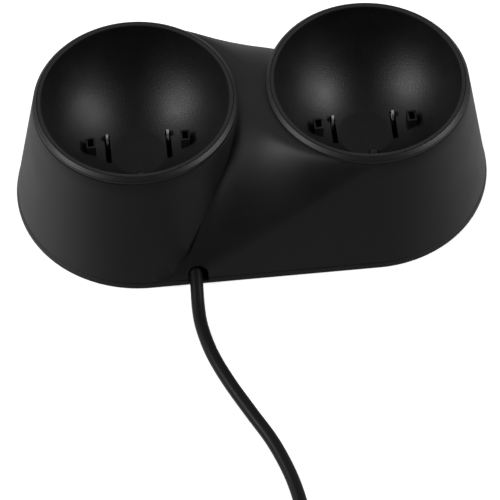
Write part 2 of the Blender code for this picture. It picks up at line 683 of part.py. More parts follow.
def usb_plug(slots):
    """The lead's far end: a short tail, the moulded grip and the metal plug, beside the coil."""
    low = CABLE_R + 0.05
    end_y = COIL_Y - COIL_R - 5.4
    wire([(COIL_X - 12.5, end_y + 0.4, low), (COIL_X - 20.0, end_y - 0.6, low), (COIL_X - 27.0, end_y - 0.6, 2.6),
          (COIL_X - 33.0, end_y - 0.6, 4.1)], CABLE_R, "usb_cable_tail", slots["cable"], 4.5)
    x0, y0, z0 = COIL_X - 33.4, end_y - 0.6, 4.1
    lie = Matrix(((0, 0, -1, 0), (1, 0, 0, 0), (0, -1, 0, 0), (0, 0, 0, 1)))
    frame = Matrix.Translation((x0, y0, z0)) @ lie
    mesh = bmesh.new()
    rings = []
    for along, wide, tall in ((0.0, 5.0, 5.0), (7.0, 6.4, 5.6), (8.2, 15.4, 7.6), (9.4, 16.0, 8.0), (27.6, 15.6, 8.0),
                              (28.6, 14.8, 7.2)):
        ring = rounded(wide, tall, min(wide, tall) * 0.32, steps=3)
        rings.append([mesh.verts.new((px, py, along)) for px, py in ring])
    for near, far in zip(rings, rings[1:]):
        for k in range(len(near)):
            n = (k + 1) % len(near)
            mesh.faces.new((near[k], near[n], far[n], far[k]))
    mesh.faces.new(rings[0])
    mesh.faces.new(rings[-1])
    bmesh.ops.transform(mesh, matrix=frame, verts=mesh.verts)
    grip = finish(mesh, "plug_grip", slots["cable"], 40)
    cut(grip, prism(rounded(12.6, 5.1, 0.5, steps=2), 22.0, 34.0, "cutter", None, None, frame))
    metal = prism(rounded(12.0, 4.5, 0.35, steps=2), 22.4, 40.6, "plug_shell", slots["nickel"], 30, frame)
    cut(metal, prism(rounded(11.3, 3.8, 0.2, steps=2), 24.0, 45.0, "cutter", None, None, frame))
    for side in (-1, 1):
        cut(metal, prism(rounded(2.0, 2.2, 0.2, side * 2.7, 0, steps=1), 0, 8, "cutter", None, None,
                         frame @ Matrix.Translation((0, -4, 34.6)) @ Matrix.Rotation(math.radians(-90), 4, "X")))
    prism(rounded(10.6, 1.5, 0.2, 0, 0.95, steps=1), 24.4, 39.8, "plug_tongue", slots["connector"], 30, frame)
    return grip


def build():
    clear_scene()
    slots = materials()
    upper_housing(slots)
    base_plate(slots)
    for k, (x, y) in enumerate(pillars()):
        screw(x, y, 1.24, 1, f"base_screw_{k + 1}", slots, 0.8, 1.9, 8.0)
    for k, (x, y) in enumerate(feet_spots()):
        rod(4.0, 0.0, 0.8, x, y, f"foot_{k + 1}", slots["rubber"], 20, 0.15)
    for side, word in ((-1, "left"), (1, "right")):
        x = side * CUP_X
        cup_liner(side, "cup_liner_" + word, slots)
        contact_block(side, "contact_block_" + word, slots)
        cup_board(side, "cup_board_" + word, slots)
        for end, hand in ((-1, "outer"), (1, "inner")):
            contact_spring(x - side * end * SLOT_X, f"contact_spring_{word}_{hand}", slots)
        for end, hand in ((-1, "front"), (1, "rear")):
            screw(x, end * POST_Y, CUP_BOARD_Z - 0.1, 1, f"cup_screw_{word}_{hand}", slots, 0.65, 1.5, 4.6)
        top = CUP_BOARD_Z + CUP_BOARD_THICK
        pipe_x, pipe_y = PIPE_SPOTS[side]
        box(1.6, 1.2, top + 0.1, top + 0.9, pipe_x, pipe_y, "indicator_led_" + word, slots["window"])
        rod(PIPE_R, top + 1.1, PIPE_TOP, pipe_x, pipe_y, "light_pipe_" + word, slots["window"], 20, 0.2)
    main_board(slots)
    board_parts(slots)
    for side, word in ((-1, "left"), (1, "right")):
        screw(side * 15.0, 8.0, BOARD_Z + BOARD_THICK + 0.1, -1, "board_screw_" + word, slots, 0.7, 1.6, 4.4)
    cable_clamp(slots)
    leads(slots)
    usb_cable(slots)
    cable_coil(slots)
    usb_plug(slots)


build()
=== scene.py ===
"""Twin charging dock for motion controllers: the fine surfaces, materials, light and camera.

Lengths below are in millimetres and are scaled to metres when a mesh is made.  X runs along the dock,
the lead leaves towards -Y and Z is up from the table.
"""

import json
import math
import bmesh
import bpy
from mathutils import Matrix, Vector

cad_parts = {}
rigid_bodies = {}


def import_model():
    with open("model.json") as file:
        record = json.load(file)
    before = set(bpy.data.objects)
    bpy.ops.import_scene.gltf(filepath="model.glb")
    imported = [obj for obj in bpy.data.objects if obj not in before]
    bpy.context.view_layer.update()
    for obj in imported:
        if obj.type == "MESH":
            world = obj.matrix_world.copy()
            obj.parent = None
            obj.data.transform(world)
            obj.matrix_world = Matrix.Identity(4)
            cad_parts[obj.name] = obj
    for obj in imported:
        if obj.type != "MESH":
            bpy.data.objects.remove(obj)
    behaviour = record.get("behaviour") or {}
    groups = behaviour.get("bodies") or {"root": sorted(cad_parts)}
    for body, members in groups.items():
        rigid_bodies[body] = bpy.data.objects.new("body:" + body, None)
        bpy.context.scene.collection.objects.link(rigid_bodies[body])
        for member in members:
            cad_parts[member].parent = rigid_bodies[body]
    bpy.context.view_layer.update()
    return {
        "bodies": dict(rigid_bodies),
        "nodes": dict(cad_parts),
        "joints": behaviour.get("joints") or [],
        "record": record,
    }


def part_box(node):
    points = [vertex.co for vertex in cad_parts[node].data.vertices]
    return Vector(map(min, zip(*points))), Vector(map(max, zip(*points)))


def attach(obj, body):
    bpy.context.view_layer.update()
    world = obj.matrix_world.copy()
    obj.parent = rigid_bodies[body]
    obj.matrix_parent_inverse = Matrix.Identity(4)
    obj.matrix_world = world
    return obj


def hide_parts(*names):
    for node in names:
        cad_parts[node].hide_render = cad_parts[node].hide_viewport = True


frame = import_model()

MM = 0.001

# ---------------------------------------------------------------- the shell
CUP_X = 29.5                # each cup's axis from the middle of the dock
RIM_Z = 37.7
BASE_Z = 0.4                # underside of the base plate
BASE_R = 32.87
END_X = 29.6                # centres of the base outline's round ends
CONE_SLOPE = 0.1947         # how fast the walls lean in, per millimetre of height
WALL = 2.0
PLATE_TOP = 2.2
SHELL_FOOT = 2.45
LIP_TOP = 4.2               # top of the base plate's inner lip
GAP = 0.3
BOWL_R = 23.75
FLOOR_R = 7.0
FLOOR_THICK = 1.4
LINER_R = 24.7              # the bowls' straight upper edge
LINER_OUT = 24.9            # the bowls' round outside
OPENING_R = 24.95
LIP_R = 24.78               # the opening closes in to this at the rim
COLLAR_R = 25.8
COLLAR_FOOT = 36.05
COLLAR_BEVEL = ((0, 0.98), (0.015, 0.90), (0.06, 0.82), (0.13, 0.75),
                (0.76, 0.15), (0.83, 0.09), (0.91, 0.04), (1.0, 0))     # inward and below the rim
GROOVE = 0.3                # the groove under the collar
CREASE_TURN = 71.0          # the saddle's edge runs round the cone by this angle, in degrees
CREASE_HIGH = 36.3
CREASE_LOW = 12.4
CREASE_POWER = 2.1
SADDLE_EDGE = 36.2
SADDLE_EASE = 1.5
SADDLE_THICK = 2.4
FOOT_SPREAD = 0.12          # how far the shoulder's lines lean outwards on their way down
ROUND_FROM = 0.26           # the rounding starts this far from the dock's middle to its side
ROUND_LAST = 0.93           # and this far at the right rim
ROUND_PULL = 0.55
FLAT_TOP = 14.9             # height of the flat side's upper edge at the middle of the dock
FLAT_RISE = 0.72            # how fast that edge climbs to the right
TOE_END = -29.4             # left of the crease the shoulder sinks into the cone, and is gone here
TOE_LOW = 2.9
TOE_POWER = 2.2
NOTCH_X = -17.25            # the lead's doorway
NOTCH_WIDE = 5.2
NOTCH_TOP = 6.6
NOTCH_SILL = 1.35
NOTCH_OUT, NOTCH_IN = -40.0, -26.3

# ---------------------------------------------------------------- what stands in it
PEG_X = 12.2
PEG_Y = 0.25
PEG_WIDE = 2.5
PEG_DEEP = 3.4
PEG_WALL = 0.5
PEG_TOP = 20.5
PEG_FLOOR = 17.8
SLOT_X = 7.9
SLOT_WIDE = 1.4
SLOT_BACK = 5.6
SLOT_FRONT = -2.9
BLADE = 0.6                 # each contact is a blade on edge
NOSE_Y = 4.4
NOSE_Z = 17.6
NOSE_R = 0.7
ROOT_Y = 8.0
ROOT_Z = 11.9
TAIL_LOW = 9.75
PIPE_SPOTS = {-1: (-29.5, -7.3), 1: (31.1, -6.4)}
PIPE_R = 1.2
PIPE_LOW = 10.5
PIPE_TOP = 15.75
PIPE_DOME = 0.55
POST_Y = 12.0               # the bowls' screw posts
POST_TOP = 15.9
CUP_BOARD_Z = 8.4
CUP_BOARD_THICK = 1.0
PILLAR_REACH = 26.3         # the housing's screw pillars, from each cup's axis
PILLAR_TURN = 38
PILLAR_TOP = 16.5
BOARD_POST_X, BOARD_POST_Y = 15.0, 8.0
BOARD_POST_TOP = 5.1
CLAMP_Y = -23.0
FOOT_X, FOOT_Y = 44.0, 12.0
SCREW_HEAD_Z = 1.24
SCREW_HEAD_R = 1.9
SCREW_HEAD_DEEP = 0.8
SCREW_LONG = 8.0
SCREW_THREAD = 7.2
SCREW_PITCH = 0.6

# ---------------------------------------------------------------- the lead
CABLE_R = 1.7
CABLE_X = -17.8
CABLE_Z = 4.3
LIE_Z = CABLE_R + 0.05      # the lead's axis where it lies on the table
COIL_X, COIL_Y = -17.6, -137.5
COIL_R = 19.0
COIL_THICK = 5.0
COIL_TURNS = 7.25
POINTS_PER_TURN = 28
CLIMB_FROM = 0.68           # the share of a turn at which a strand starts to cross to its next place
TAIL_Y = COIL_Y - COIL_R - 6.0
PLUG_X = COIL_X - 33.4
PLUG_Z = 4.1

# ---------------------------------------------------------------- the studio
ROOM_FRONT = 0.19           # how bright the room is low in front
ROOM_ENDS = 0.50            # low at the ends and behind
ROOM_UPPER = 0.05           # the share of that overhead in front
ROOM_BEHIND = 0.72          # and overhead behind
ROOM_LEFT = 1.6             # the left end is this much brighter
SOFTBOX_PLACE = (0.80, -0.20, 0.60)     # metres; the left one mirrors the right one
SOFTBOX_SIZE = 0.50
SOFTBOX_POWER = 5.0
LENS = 167.8
CAMERA_PLACE = (-36.40, -366.24, 497.35)
CAMERA_TURN, CAMERA_LIFT, CAMERA_LEAN = -5.552, 55.291, -0.502


# ---------------------------------------------------------------- mesh helpers
def finish(mesh, name, slot=None, smooth=None):
    bmesh.ops.remove_doubles(mesh, verts=mesh.verts, dist=1e-4)
    bmesh.ops.recalc_face_normals(mesh, faces=mesh.faces)
    bmesh.ops.scale(mesh, vec=(MM, MM, MM), verts=mesh.verts)
    data = bpy.data.meshes.new(name)
    mesh.to_mesh(data)
    mesh.free()
    obj = bpy.data.objects.new(name, data)
    bpy.context.scene.collection.objects.link(obj)
    if slot:
        data.materials.append(slot)
    if smooth is not None:
        shade(obj, smooth)
    return obj


def shade(obj, degrees):
    data = obj.data
    data.polygons.foreach_set("use_smooth", [True] * len(data.polygons))
    data.set_sharp_from_angle(angle=math.radians(degrees))


def combine(obj, others, operation):
    for other in others:
        modifier = obj.modifiers.new("join", "BOOLEAN")
        modifier.object = other
        modifier.operation = operation
        modifier.solver = "MANIFOLD"
        graph = bpy.context.evaluated_depsgraph_get()
        data = bpy.data.meshes.new_from_object(obj.evaluated_get(graph), depsgraph=graph)
        obj.modifiers.clear()
        obj.data = data
        bpy.data.objects.remove(other, do_unlink=True)
    return obj


def add(obj, *others):
    return combine(obj, others, "UNION")


def cut(obj, *others):
    return combine(obj, others, "DIFFERENCE")


def turned(profile, name, slot=None, x=0.0, y=0.0, around=96, smooth=30):
    mesh = bmesh.new()
    rings = []
    for radius, z in profile:
        if radius < 1e-6:
            rings.append([mesh.verts.new((x, y, z))])
            continue
        rings.append([
            mesh.verts.new((x + radius * math.cos(a), y + radius * math.sin(a), z))
            for a in (2 * math.pi * (k + 0.5) / around for k in range(around))
        ])
    for lower, upper in zip(rings, rings[1:] + rings[:1]):
        if len(lower) == 1 and len(upper) == 1:
            continue
        for k in range(around):
            n = (k + 1) % around
            corners = [lower[k % len(lower)], lower[n % len(lower)],
                       upper[n % len(upper)], upper[k % len(upper)]]
            mesh.faces.new(list(dict.fromkeys(corners)))
    return finish(mesh, name, slot, smooth)


def rod(radius, z0, z1, x, y, around=48):
    return turned([(0, z0), (radius, z0), (radius, z1), (0, z1)], "cutter", None, x, y, around)


def prism(outline, z0, z1, name="cutter", slot=None, smooth=None, frame=None, bevel=0.0, segments=2):
    mesh = bmesh.new()
    low = [mesh.verts.new((px, py, z0)) for px, py in outline]
    high = [mesh.verts.new((px, py, z1)) for px, py in outline]
    bottom = mesh.faces.new(low)
    top = mesh.faces.new(high)
    for k in range(len(outline)):
        n = (k + 1) % len(outline)
        mesh.faces.new((low[k], low[n], high[n], high[k]))
    if bevel:
        edges = list({e for face in (bottom, top) for e in face.edges})
        bmesh.ops.bevel(mesh, geom=edges, offset=bevel, segments=segments, affect="EDGES", profile=0.5)
    if frame is not None:
        bmesh.ops.transform(mesh, matrix=frame, verts=mesh.verts)
    return finish(mesh, name, slot, smooth)


def rounded(wide, deep, corner, x=0.0, y=0.0, steps=6):
    outline = []
    for cx, cy, start in ((1, 1, 0), (-1, 1, 90), (-1, -1, 180), (1, -1, 270)):
        for k in range(steps + 1):
            a = math.radians(start + 90 * k / steps)
            outline.append((x + cx * (wide / 2 - corner) + corner * math.cos(a),
                            y + cy * (deep / 2 - corner) + corner * math.sin(a)))
    return outline


def box(wide, deep, z0, z1, x, y):
    w, d = wide / 2, deep / 2
    return prism([(x - w, y - d), (x + w, y - d), (x + w, y + d), (x - w, y + d)], z0, z1)


def stadium(radius, steps):
    ends = []
    for side in (1, -1):
        for k in range(steps + 1):
            a = math.radians(-90 + 180 * k / steps)
            ends.append((side * (END_X + radius * math.cos(a)), side * radius * math.sin(a)))
    return ends


def stadium_stack(levels, name, slot=None, steps=64, smooth=30):
    mesh = bmesh.new()
    rings = [[mesh.verts.new((px, py, z)) for px, py in stadium(radius, steps)] for radius, z in levels]
    mesh.faces.new(rings[0])
    mesh.faces.new(rings[-1])
    for lower, upper in zip(rings, rings[1:]):
        for k in range(len(lower)):
            n = (k + 1) % len(lower)
            mesh.faces.new((lower[k], lower[n], upper[n], upper[k]))
    return finish(mesh, name, slot, smooth)


# ---------------------------------------------------------------- material helpers
def new_material(name, colour, roughness, metallic=0.0):
    made = bpy.data.materials.new(name)
    made.use_nodes = True
    nodes, links = made.node_tree.nodes, made.node_tree.links
    shader = nodes["Principled BSDF"]
    shader.inputs["Base Color"].default_value = (*colour, 1.0)
    shader.inputs["Roughness"].default_value = roughness
    shader.inputs["Metallic"].default_value = metallic
    return made, nodes, links, shader


def noise(nodes, links, scale, detail=3.0, rough=0.5, stretch=None):
    place = nodes.new("ShaderNodeTexCoord")
    texture = nodes.new("ShaderNodeTexNoise")
    texture.inputs["Scale"].default_value = scale
    texture.inputs["Detail"].default_value = detail
    texture.inputs["Roughness"].default_value = rough
    if stretch:
        mapping = nodes.new("ShaderNodeMapping")
        mapping.inputs["Scale"].default_value = stretch
        links.new(place.outputs["Object"], mapping.inputs["Vector"])
        links.new(mapping.outputs["Vector"], texture.inputs["Vector"])
    else:
        links.new(place.outputs["Object"], texture.inputs["Vector"])
    return texture.outputs["Fac"]


NOISE_LOW, NOISE_HIGH = 0.3, 0.7        # where a noise's tails are cut off


def ranged(nodes, links, value, low, high):
    remap = nodes.new("ShaderNodeMapRange")
    remap.inputs["From Min"].default_value = NOISE_LOW
    remap.inputs["From Max"].default_value = NOISE_HIGH
    remap.inputs["To Min"].default_value = low
    remap.inputs["To Max"].default_value = high
    links.new(value, remap.inputs["Value"])
    return remap.outputs["Result"]


def tinted(nodes, links, value, dark, light):
    ramp = nodes.new("ShaderNodeValToRGB")
    ramp.color_ramp.elements[0].position = NOISE_LOW
    ramp.color_ramp.elements[1].position = NOISE_HIGH
    ramp.color_ramp.elements[0].color = (*dark, 1.0)
    ramp.color_ramp.elements[1].color = (*light, 1.0)
    links.new(value, ramp.inputs["Fac"])
    return ramp.outputs["Color"]


def bumped(nodes, links, shader, value, strength, distance):
    bump = nodes.new("ShaderNodeBump")
    bump.inputs["Strength"].default_value = strength
    bump.inputs["Distance"].default_value = distance
    links.new(value, bump.inputs["Height"])
    links.new(bump.outputs["Normal"], shader.inputs["Normal"])


def plastic(name, dark, light, rough, grain, strength, distance, specular=0.5):
    """Moulded plastic: slow change of tone and gloss under a fine grain."""
    made, nodes, links, shader = new_material(name, light, rough[0])
    slow = noise(nodes, links, 60.0, 3.0, 0.6)
    links.new(tinted(nodes, links, slow, dark, light), shader.inputs["Base Color"])
    links.new(ranged(nodes, links, slow, rough[0], rough[1]), shader.inputs["Roughness"])
    bumped(nodes, links, shader, noise(nodes, links, grain, 2.0, 0.5), strength, distance)
    shader.inputs["Specular IOR Level"].default_value = specular
    return made


def metal(name, dark, light, rough, stretch, grain, strength, metallic=1.0):
    """Plated or bare metal; the noise is drawn out along `stretch` where it is brushed."""
    made, nodes, links, shader = new_material(name, light, rough[0], metallic)
    brushed = noise(nodes, links, grain, 3.0, 0.6, stretch)
    links.new(tinted(nodes, links, brushed, dark, light), shader.inputs["Base Color"])
    links.new(ranged(nodes, links, brushed, rough[0], rough[1]), shader.inputs["Roughness"])
    bumped(nodes, links, shader, brushed, strength, 0.00002)
    return made


SHELL = plastic("shell_satin_plastic", (0.0060, 0.0060, 0.0062), (0.0078, 0.0078, 0.0081),
                (0.42, 0.50), 2600, 0.14, 0.00003)
LINER = plastic("bowl_grained_plastic", (0.0044, 0.0044, 0.0046), (0.0062, 0.0062, 0.0064),
                (0.42, 0.54), 2300, 0.75, 0.00007, specular=0.64)
PLATE = plastic("base_moulded_plastic", (0.006, 0.006, 0.006), (0.009, 0.009, 0.009),
                (0.48, 0.58), 1300, 0.25, 0.00005)
INNER = plastic("inner_moulded_plastic", (0.028, 0.028, 0.030), (0.040, 0.040, 0.042),
                (0.5, 0.6), 1200, 0.2, 0.00005)
RUBBER = plastic("foot_rubber", (0.016, 0.016, 0.016), (0.026, 0.026, 0.026),
                 (0.72, 0.86), 1800, 0.5, 0.00008)
JACKET = plastic("cable_jacket", (0.0040, 0.0040, 0.0042), (0.0060, 0.0060, 0.0063),
                 (0.36, 0.44), 1500, 0.18, 0.00004, specular=0.24)
CHIP = plastic("chip_epoxy", (0.014, 0.014, 0.014), (0.024, 0.024, 0.024),
               (0.45, 0.55), 1600, 0.3, 0.00004)
NYLON = plastic("connector_nylon", (0.70, 0.67, 0.58), (0.80, 0.77, 0.68),
                (0.42, 0.52), 900, 0.1, 0.00004)
WINDOW = plastic("light_window", (0.030, 0.030, 0.031), (0.042, 0.042, 0.044),
                 (0.38, 0.46), 1500, 0.3, 0.00005)
RED = plastic("red_lead_jacket", (0.36, 0.012, 0.012), (0.48, 0.02, 0.02),
              (0.4, 0.5), 900, 0.1, 0.00003)
BOARD = plastic("board_laminate", (0.010, 0.012, 0.011), (0.016, 0.019, 0.017),
                (0.40, 0.50), 700, 0.15, 0.00004)
GOLD = metal("contact_plating", (0.88, 0.87, 0.84), (0.96, 0.95, 0.92),
             (0.28, 0.38), (1, 1, 1), 700.0, 0.04, 0.15)
STEEL = metal("screw_steel", (0.38, 0.38, 0.40), (0.56, 0.56, 0.58),
              (0.22, 0.36), (1, 1, 1), 900.0, 0.05)
NICKEL = metal("plug_plating", (0.66, 0.66, 0.67), (0.78, 0.78, 0.79),
               (0.16, 0.28), (1, 12, 12), 400.0, 0.05)


# ---------------------------------------------------------------- the outer shape
def cone_radius(z):
    return BASE_R - CONE_SLOPE * (z - BASE_Z)


def crease_point(turn, inset):
    z = CREASE_HIGH - (CREASE_HIGH - CREASE_LOW) * (turn / CREASE_TURN) ** CREASE_POWER
    radius = cone_radius(z) - inset
    angle = math.radians(-turn)
    return Vector((-CUP_X + radius * math.cos(angle), radius * math.sin(angle), z))


def rim_point(turn, inset):
    radius = cone_radius(SADDLE_EDGE) - inset
    angle = math.radians(180 + turn)
    return Vector((CUP_X + radius * math.cos(angle), radius * math.sin(angle), SADDLE_EDGE))


def side_y(z, inset):
    return -(cone_radius(z) - inset)


def top_point(u, t, inset, drop, embed):
    """The saddle's upper surface: u runs from the crease to the right rim, t from the middle to the front."""
    low = crease_point(CREASE_TURN * t, embed)
    high = rim_point(90.0 * t, embed)
    place = low.lerp(high, u)
    place.z = low.z + (high.z - low.z) * (1 - (1 - u) ** SADDLE_EASE) - drop
    place.y = max(place.y, side_y(place.z, inset))
    return place


def round_over(back, ahead, knee, under, foot, inset, fillet, lower):
    """On from `back` towards `ahead`, in a wide curve inside `knee` to `under`, and down to the foot."""
    lift = (ahead - back).normalized() * (ROUND_PULL * (knee - back).length)
    first = back + lift
    second = under + (knee - under) * ROUND_PULL
    line = []
    for k in range(1, fillet + 1):
        s = k / fillet
        line.append(back * (1 - s) ** 3 + first * (3 * s * (1 - s) ** 2) + second * (3 * s * s * (1 - s))
                    + under * s ** 3)
    for k in range(1, lower + 1):
        point = under.lerp(foot, k / lower)
        point.y = side_y(point.z, inset)
        line.append(point)
    return line


def saddle_column(u, inset, drop, foot, rows, embed, fillet, lower):
    """One line of the saddle from the dock's middle to the front, over the shoulder and down the side."""
    start = ROUND_FROM + (ROUND_LAST - ROUND_FROM) * u ** 4 + 0.2 * (1 - u) ** 4
    top = [top_point(u, start * k / rows, inset, drop, embed) for k in range(rows + 1)]
    ahead = top_point(u, start + 0.01, inset, drop, embed)
    corner = top_point(u, 1.0, inset, drop, embed)
    knee = Vector((corner.x, side_y(corner.z, inset), corner.z))
    foot_x = corner.x + FOOT_SPREAD * ((END_X - 0.4) * (2 * u - 1) - corner.x)
    base = Vector((foot_x, side_y(foot, inset), foot))
    flat_z = min(max(FLAT_TOP + FLAT_RISE * corner.x, foot + 0.3), corner.z - 1.0)
    under = knee.lerp(base, (corner.z - flat_z) / (corner.z - foot))
    under.y = side_y(under.z, inset)
    return top + round_over(top[-1], ahead, knee, under, base, inset, fillet, lower)


def toe_column(v, first, foot, rows, fillet, lower):
    """A line left of the crease's low end, where the shoulder sinks into the cone as v goes from 0 to 1.

    Its upper part runs inside the cone from the saddle's first point; `first` is the saddle's first line.
    """
    knee_z = TOE_LOW + (CREASE_LOW - TOE_LOW) * (1 - v) ** TOE_POWER
    knee_x = crease_point(CREASE_TURN, 0.0).x * (1 - v) + (TOE_END + 0.5) * v - 0.4 * (1 - v)
    sunk = 0.04 * v
    back = first[rows].lerp(Vector((knee_x + 1.0, -cone_radius(knee_z) + 1.5, knee_z + 3.0)), v)
    ahead = back + (Vector((knee_x, -cone_radius(knee_z), knee_z)) - back) * 0.1
    knee = Vector((knee_x, side_y(knee_z, sunk), knee_z))
    under_z = foot + 0.3 - 0.15 * v
    under = Vector((knee_x - 0.6 * (1 - v), side_y(under_z, sunk), under_z))
    base = Vector((knee_x - 0.9 * (1 - v), side_y(foot, sunk), foot))
    inside = [first[0].lerp(back, k / rows) for k in range(rows + 1)]
    return inside + round_over(back, ahead, knee, under, base, sunk, fillet, lower)


def bridge(name, inset=0.0, drop=0.0, foot=SHELL_FOOT, columns=72, rows=48, embed=1.2, fillet=14, lower=8,
           toe=24):
    """The saddle between the cones as one closed solid, reaching a little into both of them."""
    lines = [saddle_column(j / columns, inset, drop, foot, rows, embed, fillet, lower)
             for j in range(columns + 1)]
    toes = [toe_column(j / toe, lines[0], foot, rows, fillet, lower) for j in range(toe, 0, -1)]
    mesh = bmesh.new()
    saddle = [[mesh.verts.new(p) for p in line] for line in lines]
    centre = [column[0] for column in saddle]
    front = [[centre[0]] + [mesh.verts.new(p) for p in line[1:]] for line in toes] + saddle
    back = []
    for j in range(columns + 1):
        back.append([centre[j]] + [mesh.verts.new((-p.x, -p.y, p.z)) for p in lines[columns - j][1:]])
    for line in toes[::-1]:
        back.append([centre[-1]] + [mesh.verts.new((-p.x, -p.y, p.z)) for p in line[1:]])
    for grid in (front, back):
        for left, right in zip(grid, grid[1:]):
            for k in range(len(left) - 1):
                corners = (left[k], left[k + 1], right[k + 1], right[k])
                mesh.faces.new(list(dict.fromkeys(corners)))
    loop = []
    for side in (0, -1):
        edge = front[side][::-1] + back[side][1:]
        foot_points = [edge[0]] + [mesh.verts.new((v.co.x, v.co.y, foot)) for v in edge[1:-1]] + [edge[-1]]
        for k in range(len(edge) - 1):
            corners = (edge[k], edge[k + 1], foot_points[k + 1], foot_points[k])
            mesh.faces.new(list(dict.fromkeys(corners)))
        loop.append(foot_points)
    outline = loop[0] + [c[-1] for c in back[1:-1]] + loop[1][::-1] + [c[-1] for c in front[1:-1]][::-1]
    mesh.faces.new(outline)
    return finish(mesh, name, None, 30)


def spline_points(knots, count):
    """Evenly spaced points on a smooth curve through 2-D knots."""
    route = smooth_route([Vector((x, z, 0)) for x, z in knots], 0.2)
    picked = [route[round(k * (len(route) - 1) / (count - 1))] for k in range(count)]
    return [(p.x, p.y) for p in picked]


def smooth_route(knots, spacing):
    ends = [2 * knots[0] - knots[1]] + list(knots) + [2 * knots[-1] - knots[-2]]
    fine = []
    for a, b, c, d in zip(ends, ends[1:], ends[2:], ends[3:]):
        for k in range(24):
            t = k / 24
            fine.append(0.5 * (2 * b + (c - a) * t + (2 * a - 5 * b + 4 * c - d) * t * t
                               + (3 * b - a - 3 * c + d) * t * t * t))
    fine.append(knots[-1])
    lengths = [0.0]
    for a, b in zip(fine, fine[1:]):
        lengths.append(lengths[-1] + (b - a).length)
    count = max(3, round(lengths[-1] / spacing) + 1)
    route, at = [], 0
    for k in range(count):
        want = lengths[-1] * k / (count - 1)
        while at < len(fine) - 2 and lengths[at + 1] < want:
            at += 1
        share = (want - lengths[at]) / max(lengths[at + 1] - lengths[at], 1e-9)
        route.append(fine[at].lerp(fine[at + 1], min(max(share, 0), 1)))
    return route


def pillars():
    spots = []
    for side in (-1, 1):
        for turn in (-PILLAR_TURN, PILLAR_TURN):
            a = math.radians(turn)
            spots.append((side * (CUP_X + PILLAR_REACH * math.cos(a)), PILLAR_REACH * math.sin(a)))
    return spots


def notch_cutter():
    """The lead's doorway, arched above; the base plate runs on as its sill."""
    half = NOTCH_WIDE / 2
    outline = [(NOTCH_X - half, NOTCH_SILL), (NOTCH_X + half, NOTCH_SILL)]
    for k in range(33):
        a = math.pi * k / 32
        outline.append((NOTCH_X + half * math.cos(a), NOTCH_TOP - half + half * math.sin(a)))
    stand = Matrix(((1, 0, 0, 0), (0, 0, 1, 0), (0, 1, 0, 0), (0, 0, 0, 1)))
    return prism(outline, NOTCH_OUT, NOTCH_IN, "notch", None, None, stand)


def dress(made, slot, degrees):
    """Give every face the one material, and smooth all but the sharp edges."""
    made.data.materials.clear()
    made.data.materials.append(slot)
    shade(made, degrees)
    return made


def housing():
    """Both cones, the saddle and the collars, hollow from below, with four screw pillars."""
    cone_top = COLLAR_FOOT - GROOVE
    made = None
    for side in (-1, 1):
        collar = [(COLLAR_R - inward, RIM_Z - below) for inward, below in COLLAR_BEVEL]
        wall = [(cone_radius(z), z) for z in (SHELL_FOOT, 8, 14, 20, 26, 32, cone_top - 0.25)]
        edge = [(cone_radius(cone_top) - 0.05, cone_top - 0.04)]
        outline = [(0, SHELL_FOOT)] + wall + edge + [(COLLAR_R - GROOVE, cone_top + 0.05),
                   (COLLAR_R - GROOVE, COLLAR_FOOT - 0.05), (COLLAR_R, COLLAR_FOOT)] + collar + [(0, RIM_Z)]
        cone = turned(outline, "dock_housing" if made is None else "cone", SHELL, side * CUP_X, around=256)
        made = cone if made is None else add(made, cone)
    add(made, bridge("saddle"))
    for side in (-1, 1):
        inner = [(0, 1.0), (cone_radius(1.0) - WALL, 1.0), (cone_radius(31.0) - WALL, 31.0), (0, 31.0)]
        mouth = [(0, 30.0), (OPENING_R, 30.0), (OPENING_R, 35.0), (LIP_R, 35.2), (LIP_R, RIM_Z - 0.12),
                 (LIP_R + 0.04, RIM_Z - 0.04), (LIP_R + 0.2, RIM_Z + 0.05), (LIP_R + 0.2, 45.0), (0, 45.0)]
        cut(made, turned(inner, "inner_cone", None, side * CUP_X, around=96),
            turned(mouth, "mouth", None, side * CUP_X, around=256))
    cut(made, bridge("inner_saddle", inset=WALL, drop=SADDLE_THICK, foot=1.0, columns=14, rows=10, embed=1.6,
                     fillet=4, lower=2, toe=0))
    foot_wall = [(cone_radius(1.0) - WALL, 1.0), (cone_radius(4.8) - WALL, 4.8)]
    cut(made, stadium_stack(foot_wall, "inner_foot"))
    for x, y in pillars():
        add(made, rod(2.7, SHELL_FOOT + GAP, PILLAR_TOP, x, y, around=32))
        cut(made, rod(0.95, 0.0, 11.0, x, y, around=24))
    cut(made, notch_cutter())
    return dress(made, SHELL, 24)


def bowl_height(radius):
    return RIM_Z - math.sqrt(BOWL_R * BOWL_R - radius * radius)


